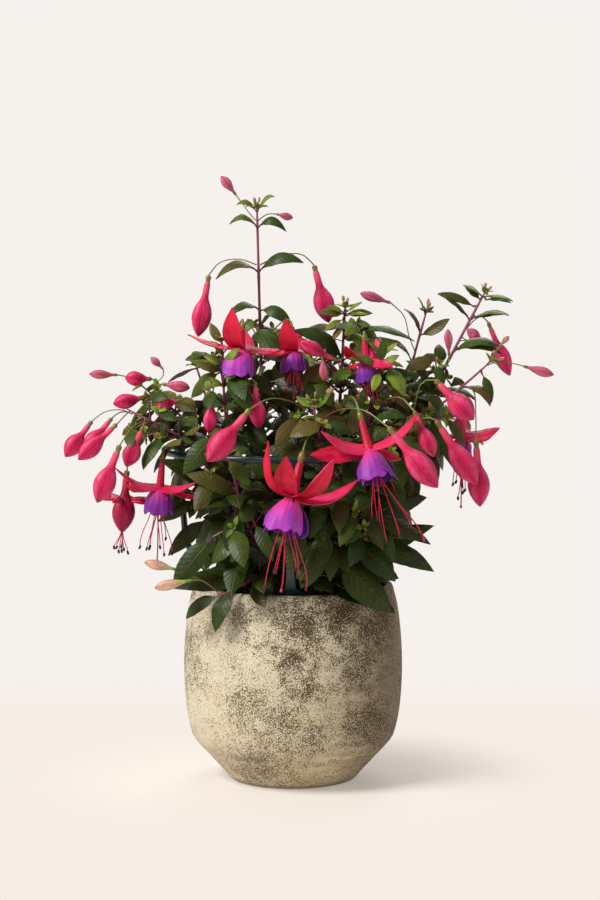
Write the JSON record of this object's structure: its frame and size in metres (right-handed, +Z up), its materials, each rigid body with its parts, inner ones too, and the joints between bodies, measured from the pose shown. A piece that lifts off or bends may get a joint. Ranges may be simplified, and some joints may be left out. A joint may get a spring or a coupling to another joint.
{
  "type": "potted fuchsia",
  "caption": "Flowering fuchsia standing in a round glazed ceramic pot of soil, its leafy stems held by a plastic hoop on legs, with hanging blooms and buds.",
  "frame": {"origin": "centre of the pot's flat foot, on the surface that it stands on", "axes": "+Z up along the pot's axis, -Y towards the front of the plant, +X to the right seen from the front"},
  "size_m": [0.4138, 0.3243, 0.5217],
  "materials": {
    "pot_glaze": "matte",
    "soil": "matte",
    "hoop_plastic": "satin",
    "leg_plastic": "satin",
    "sepal": "satin",
    "petal": "satin",
    "bud": "satin",
    "foliage": "satin"
  },
  "bodies": {
    "root": {"pot": "pot_glaze", "potting_soil": "soil", "support_hoop": "hoop_plastic", "support_leg_front": "leg_plastic", "support_leg_right": "leg_plastic", "support_leg_left": "leg_plastic", "bloom_upper_left_calyx": "sepal", "bloom_upper_left_corolla": "petal", "bloom_upper_middle_calyx": "sepal", "bloom_upper_middle_corolla": "petal", "bloom_upper_right_calyx": "sepal", "bloom_upper_right_corolla": "petal", "bloom_centre_calyx": "sepal", "bloom_centre_corolla": "petal", "bloom_right_calyx": "sepal", "bloom_right_corolla": "petal", "bloom_left_calyx": "sepal", "bloom_left_corolla": "petal", "bloom_far_right_calyx": "sepal", "bloom_far_right_corolla": "petal", "bloom_back_calyx": "sepal", "bloom_back_corolla": "petal", "buds_leader_left": "bud", "buds_leader_right": "bud", "buds_right_behind": "bud", "buds_right_upper": "bud", "buds_right_middle": "bud", "buds_right_lower": "bud", "buds_right_lowest": "bud", "buds_front_right": "bud", "buds_front_left": "bud", "buds_left_middle": "bud", "buds_left_centre": "bud", "buds_left_top": "bud", "buds_left_inner": "bud", "buds_left_shoulder": "bud", "buds_left_low": "bud", "buds_left_hanging": "bud", "buds_left_front": "bud", "buds_half_open": "bud", "buds_trailing": "bud", "stem_leader": "foliage", "stem_centre": "foliage", "stem_right_inner": "foliage", "stem_right_outer": "foliage", "stem_right_low": "foliage", "stem_left_outer": "foliage", "stem_left_upper": "foliage", "stem_front_centre": "foliage", "stem_front_right": "foliage", "stem_front_left": "foliage", "stem_mid_left": "foliage", "stem_mid_right": "foliage", "stem_back_left": "foliage", "stem_back_centre": "foliage", "stem_back_right": "foliage", "stem_trailing": "foliage"}
  },
  "joints": []
}
